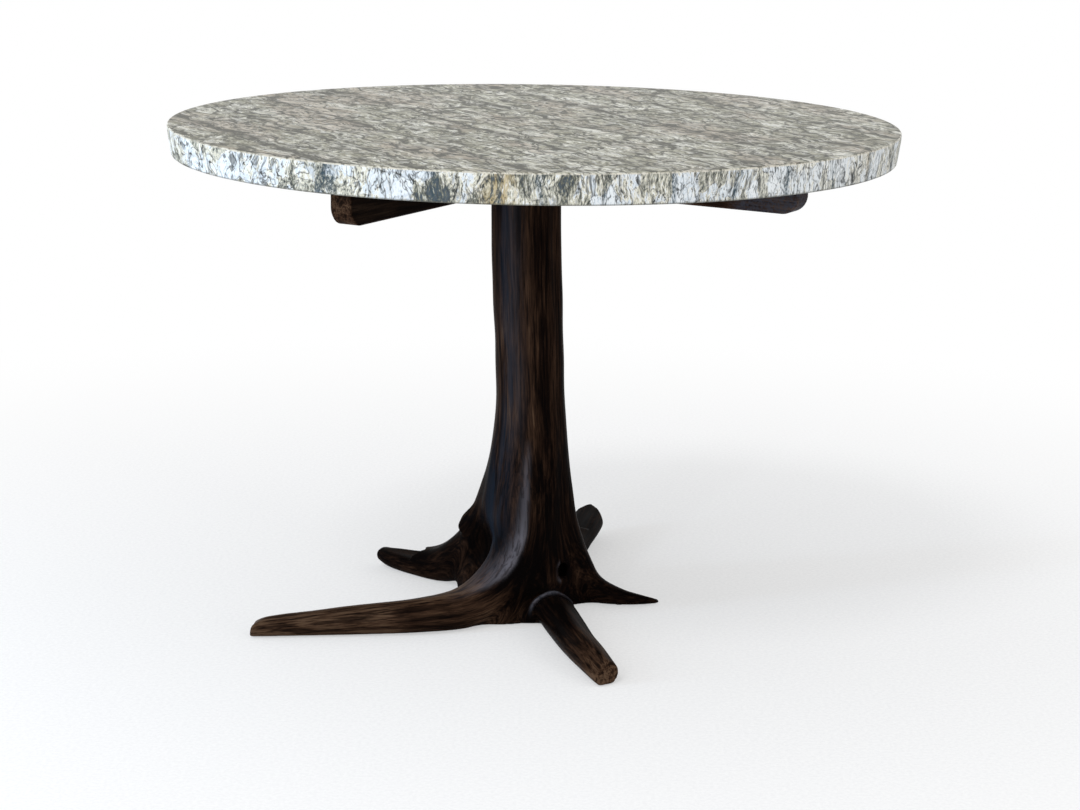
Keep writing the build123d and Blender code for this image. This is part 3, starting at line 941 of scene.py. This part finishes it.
def cells(vector, scale, smooth):
    """Grains side by side: a random number for each grain, and how far a point is from the grain's edge."""
    vector = granite.vectors("MULTIPLY", vector, scale)
    values = {"Vector": vector, "Scale": 1.0, "Smoothness": smooth}
    kind = granite.part(granite.add("TexVoronoi", {"feature": "SMOOTH_F1"}, values, output=1), 0)
    return kind, granite.add("TexVoronoi", {"feature": "DISTANCE_TO_EDGE"}, {"Vector": vector, "Scale": 1.0})


# %% [markdown]
# The top is polished and warm grey, with pale grains, pinkish clouds and fine wavy dark lines along the
# layers. One ramp over one noise would look like marbled paper. Here patches, grains and cells of several
# sizes are summed into one tone, and the dark lines and seams are laid over its colour.

# %% Polished top of the stone
top_stops = [
    (0.05, (0.085, 0.083, 0.048)),
    (0.30, (0.228, 0.222, 0.150)),
    (0.52, (0.400, 0.392, 0.296)),
    (0.74, (0.560, 0.550, 0.460)),
    (0.95, (0.780, 0.780, 0.710)),
]
pink_cloud, pale_fleck, olive_black = (0.43, 0.355, 0.280), (0.66, 0.67, 0.64), (0.036, 0.036, 0.018)
# Dark seams of the top: metres from the middle layer, half width and depth of colour
top_seams = [
    (-0.472, 0.020, 0.85), (-0.375, 0.010, 0.65), (-0.255, 0.009, 0.60), (-0.11, 0.013, 0.50),
    (0.05, 0.012, 0.55), (0.17, 0.016, 0.55), (0.30, 0.011, 0.50), (0.41, 0.014, 0.60),
]
patches = granite.noise(layers, (7, 20, 9), 4.0, 0.6, 0.4)
small = granite.noise(layers, (20, 70, 30), 4.0, 0.62, 0.5)
grains = granite.noise(layers, (70, 210, 90), 3.0, 0.6, 0.3)
warm = granite.noise(layers, (4, 9, 5), 3.0, 0.55)
bent = granite.vectors("ADD", layers, granite.shifts(turned, 60.0, 4.0, (0.016, 0.012, 0.0)))
cell_kind, cell_edge = cells(bent, (19, 34, 0), 0.25)
tone = (patches - 0.5) * 0.9 + (cell_kind - 0.5) * 0.45 + 0.19
tone = tone + small.ramp(0.38, 0.62) * 0.36 + grains.ramp(0.36, 0.64) * 0.52
top_colour = granite.mix(warm.ramp(0.46, 0.64) * 0.60, granite.colours(tone, top_stops), pink_cloud)
flecks = granite.noise(layers, (34, 120, 50), 2.0, 0.5, 0.5).ramp(0.58, 0.68)
top_colour = granite.mix(flecks * 0.80, top_colour, pale_fleck)
crackle = lines(layers, (10, 36, 18), 0.060, 0.9) * small.ramp(0.32, 0.48)
thread = lines(layers, (22, 76, 40), 0.065, 1.2)
bands = sum(seam(offset, width) * depth for offset, width, depth in top_seams)
bands = bands * grains.ramp(0.34, 0.60, 0.45, 1.0)
cell_lines = cell_edge.ramp(0.110, 0.020) * small.ramp(0.58, 0.42, 0.25, 1.0)
top_colour = granite.mix(crackle * 0.55 + thread * 0.50 + cell_lines * 0.85 + bands, top_colour, olive_black)

# %% [markdown]
# The rim was broken, not polished. It shows the grains from their ends, larger and paler: blue-grey, white
# and cream pebbles with thin cracks between them. It could reuse the colours of the top, but a rough face
# looks paler and cooler, so it has stops of its own. They are paler partly for that and partly as painted
# light, as if the light from the front fell on the upright rim more than on the top.

# %% Broken layers on the rim
rim_stops = [
    (0.00, (0.080, 0.100, 0.115)),
    (0.14, (0.190, 0.185, 0.135)),
    (0.30, (0.400, 0.405, 0.365)),
    (0.46, (0.640, 0.610, 0.490)),
    (0.62, (0.780, 0.790, 0.770)),
    (0.82, (0.555, 0.620, 0.680)),
    (1.00, (0.740, 0.775, 0.795)),
]
ochre, rim_painted_light = (0.420, 0.310, 0.130), (0.84, 0.84, 0.81)
crack_grey, seam_blue = (0.060, 0.064, 0.062), (0.042, 0.066, 0.082)
# Dark seams of the rim: metres from the middle layer and half width
rim_seams = [
    (-0.480, 0.016), (-0.372, 0.012), (-0.251, 0.009), (-0.17, 0.007), (-0.08, 0.009), (0.02, 0.008),
    (0.11, 0.009), (0.20, 0.007), (0.29, 0.010), (0.38, 0.008), (0.46, 0.009),
]
shaken = granite.vectors("ADD", upright, granite.shifts(turned, 60.0, 4.0, (0.014, 0.014, 0.016)))
pebble_kind, pebble_edge = cells(shaken, (24, 54, 27), 0.35)
strokes = granite.noise(upright, (60, 170, 34), 4.0, 0.6, 0.5)
crumbs = granite.noise(upright, (170, 420, 150), 4.0, 0.65)
rim_kind = pebble_kind * 0.85 + (strokes - 0.5) * 1.3 + (small - 0.5) * 0.9 + (crumbs - 0.5) * 1.5 + 0.22
# The lift of the layers round 0.24 is painted light, paler on the right of the rim
rim_kind = rim_kind - seam(-0.30, 0.15) * 0.36 + seam(0.24, 0.22) * 0.08
rusty = (seam(-0.303, 0.030) + seam(0.285, 0.012)) * strokes.ramp(0.40, 0.56)
rim_colour = granite.mix(rusty * 0.8, granite.colours(rim_kind, rim_stops), ochre)
# Painted light: a broad pale band makes the right of the rim paler, where the lamps leave it darker
rim_colour = granite.mix(seam(0.20, 0.30) * 0.32, rim_colour, rim_painted_light)
rim_lines = pebble_edge.ramp(0.050, 0.0) * small.ramp(0.42, 0.54) * 0.55
rim_cracks = lines(upright, (26, 95, 24), 0.045, 1.0) * 0.80
rim_colour = granite.mix(rim_lines + rim_cracks + crumbs.ramp(0.43, 0.34) * 0.75, rim_colour, crack_grey)
rim_bands = sum(seam(offset, width) for offset, width in rim_seams) * strokes.ramp(0.40, 0.50)
rim_colour = granite.mix(rim_bands * crumbs.ramp(0.62, 0.44, 0.25, 0.95), rim_colour, seam_blue)

# %% [markdown]
# Where top and rim meet, a narrow pale line on the arris is a painted highlight, and the lower edge, which
# faces down, is painted dark as painted shade. Both are drawn by the height and the reach of a point. Only
# the rim has relief: the pebbles stand out from their cracks.

# %% Top, rim and edges together
colour = granite.mix(on_rim, top_colour, rim_colour)
# Painted highlight: a broken pale line along the arris
arris_highlight = reach.ramp(0.5565, 0.5572) * height_part.ramp(0.7592, 0.7600) * reach.ramp(0.5600, 0.5598)
colour = granite.mix(arris_highlight * strokes.ramp(0.40, 0.56, 0.15, 0.85), colour, (0.74, 0.71, 0.62))
# Painted shade: the eased lower edge, which faces down, is coloured dark
lower_edge_shade = height_part.ramp(0.7205, 0.7175)
granite.fill(granite.surface, {
    "Base Color": granite.mix(lower_edge_shade * 0.75, colour, (0.100, 0.098, 0.080)),
    "Roughness": on_rim.ramp(0.0, 1.0, 0.30, 0.40) + (grains - 0.5) * 0.10,
    "Normal": granite.bump(pebble_edge.ramp(0.0, 0.10) * on_rim + strokes * on_rim * 0.6, 0.0006),
    "Specular IOR Level": 0.035,
})
paint(granite, stone)
print("granite nodes", len(granite.tree.nodes))


# %% [markdown]
# The screws and washers are zinc-plated steel, the pads under the stone are soft and pale, and the glides
# under the roots are plain hard plastic. They are small and mostly hidden, but seen from below each still
# needs its own finish. One function makes all three, since they differ only in their values.

# %% Steel, pads and glides
def small_part(name, dark, light, roughness, metallic, patch, depth):
    """A finish with faint mottling in colour, gloss and relief, at so many patches per metre."""
    finish = Finish(name)
    mottle = finish.noise(finish.places(), patch, 4.0, 0.6)
    speck = finish.noise(finish.places(), patch * 9, 2.0)
    finish.fill(finish.surface, {
        "Base Color": finish.mix(mottle.ramp(0.35, 0.65), dark, light),
        "Roughness": (mottle - 0.5) * 0.3 + speck * 0.1 + roughness,
        "Normal": finish.bump(speck, depth),
        "Metallic": metallic,
    })
    return finish


steel = small_part("zinc_plated_steel", (0.38, 0.39, 0.40), (0.56, 0.56, 0.55), 0.30, 1.0, 90.0, 0.00002)
soft = small_part("soft_pale_pad", (0.62, 0.62, 0.60), (0.75, 0.75, 0.73), 0.62, 0.0, 160.0, 0.00008)
glide = small_part("dark_glide", (0.095, 0.086, 0.078), (0.145, 0.133, 0.122), 0.48, 0.0, 120.0, 0.00004)
paint(steel, "lag_screws", "lag_washers")
paint(soft, *[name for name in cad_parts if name.startswith("stone_bumper")])
paint(glide, *[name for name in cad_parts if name.startswith("floor_pad")])


# %% [markdown]
# A plain pale floor reaches far behind the table. It could be a curved backdrop, but a flat one that glows a
# little more with distance fades into the white background just as well, and only the camera sees that glow.

# %% Pale floor
def flat_square(name, size, height):
    """A level square round the middle of the frame: each corner is half the size away along x and y."""
    corners = np.array([(-1, -1, 0), (1, -1, 0), (1, 1, 0), (-1, 1, 0)]) * size / 2 + (0, 0, height)
    return mesh_object(name, corners, [np.array([(0, 1, 2, 3)])])


floor = flat_square("studio_floor", 40.0, 0.0)
floor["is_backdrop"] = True
pale = Finish("pale_floor")
fleck = pale.noise(pale.places(), 180.0, 3.0, 0.7)
pale.fill(pale.surface, {
    "Base Color": pale.mix(fleck.ramp(0.3, 0.7), (0.82, 0.82, 0.83), (0.94, 0.94, 0.94)),
    "Roughness": 0.9,
    "Specular IOR Level": 0.0,
})
away = pale.vectors("LENGTH", pale.places(), output=1)
glow = pale.add("Emission", values={"Color": (1, 1, 1), "Strength": 1.0})
seen_far = pale.add("LightPath") * away.ramp(0.7, 2.2, 0.45, 1.0)
outcome = pale.add("MixShader", values={0: seen_far, 1: Value(pale, pale.surface.outputs[0]), 2: glow})
pale.fill(pale.tree.nodes["Material Output"], {"Surface": outcome})
paint(pale, floor)

# %% [markdown]
# The white world lights from all sides, and to the camera it is plain white. A soft sun from the left front
# gives the shadow, a cool tall lamp at the left stands for a window, a narrow strip in front lights the front
# of the trunk, whose long sheen is painted, and a fill keeps the right side bright.

# %% Light
world = bpy.data.worlds.new("studio_light")
world.use_nodes = True
bpy.context.scene.world = world
sky = Nodes(world.node_tree)
camera_ray, glossy_ray, clear_ray = (
    sky.add("LightPath", output=name) for name in ("Is Camera Ray", "Is Glossy Ray", "Is Transmission Ray")
)
seen = camera_ray.math("MAXIMUM", glossy_ray).math("MAXIMUM", clear_ray)
sky.fill(sky.tree.nodes["Background"], {"Color": (1, 1, 1), "Strength": seen.ramp(0.0, 1.0, 0.74, 1.0)})


def lamp(name, kind, energy, place, aim, colour=(1, 1, 1), **settings):
    """A lamp at a place, turned to look at its aim."""
    data = bpy.data.lights.new(name, kind)
    data.energy, data.color = energy, colour
    for setting, value in settings.items():
        setattr(data, setting, value)
    made = bpy.data.objects.new(name, data)
    place, aim = np.array(place, dtype=float), np.array(aim, dtype=float)
    back = unit(place - aim)
    side = unit(np.cross((0, 0, 1), back))
    turn = Matrix(np.column_stack([side, np.cross(back, side), back]).tolist()).to_4x4()
    made.matrix_world = Matrix.Translation(place.tolist()) @ turn
    bpy.context.collection.objects.link(made)
    print("lamp", name, kind, energy)


def panel(name, energy, place, aim, colour, width, height):
    """A lamp whose light comes from a rectangle."""
    lamp(name, "AREA", energy, place, aim, colour, shape="RECTANGLE", size=width, size_y=height)


lamp("soft_sun", "SUN", 0.60, (-2.0, -3.0, 5.0), (0, 0, 0), angle=math.radians(16))
panel("window", 26.0, (-2.5, -0.9, 0.8), (0, 0, 0.25), (0.68, 0.83, 1.0), 0.20, 1.2)
panel("fill", 11.0, (2.2, -2.6, 0.9), (0.3, 0, 0.7), (1, 1, 1), 0.6, 0.6)
panel("strip", 13.0, (-1.2, -3.0, 1.4), (0, 0, 0.25), (0.9, 0.95, 1.0), 0.15, 0.9)

# %% [markdown]
# The camera stands a little higher than the stone, some four metres in front. It could be aimed by eye. Its
# place and turns were worked out instead, from the slab's ellipse and the points where the roots touch the
# floor.

# %% Camera
camera_place = (0, -4.1051, 1.2548)
camera_turns = ((-0.2054, "Z"), (77.15014, "X"), (0.847203, "Z"))
camera_data = bpy.data.cameras.new("camera")
camera_data.sensor_width, camera_data.sensor_fit, camera_data.lens = 36.0, "HORIZONTAL", 89.440
camera_data.clip_end = 100
camera = bpy.data.objects.new("camera", camera_data)
turn = [Matrix.Rotation(math.radians(degrees), 4, axis) for degrees, axis in camera_turns]
camera.matrix_world = Matrix.Translation(camera_place) @ turn[0] @ turn[1] @ turn[2]
bpy.context.collection.objects.link(camera)
bpy.context.scene.camera = camera
bpy.context.scene.view_settings.view_transform = "Standard"
print("camera", camera_place, "lens", camera_data.lens)

# %% [markdown]
# Last, the box round everything that is seen is worked out and written down. The looks must stay inside its
# box.

# %% Size of the looks
low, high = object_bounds()
print("looks box", [round(v, 4) for v in low], [round(v, 4) for v in high])
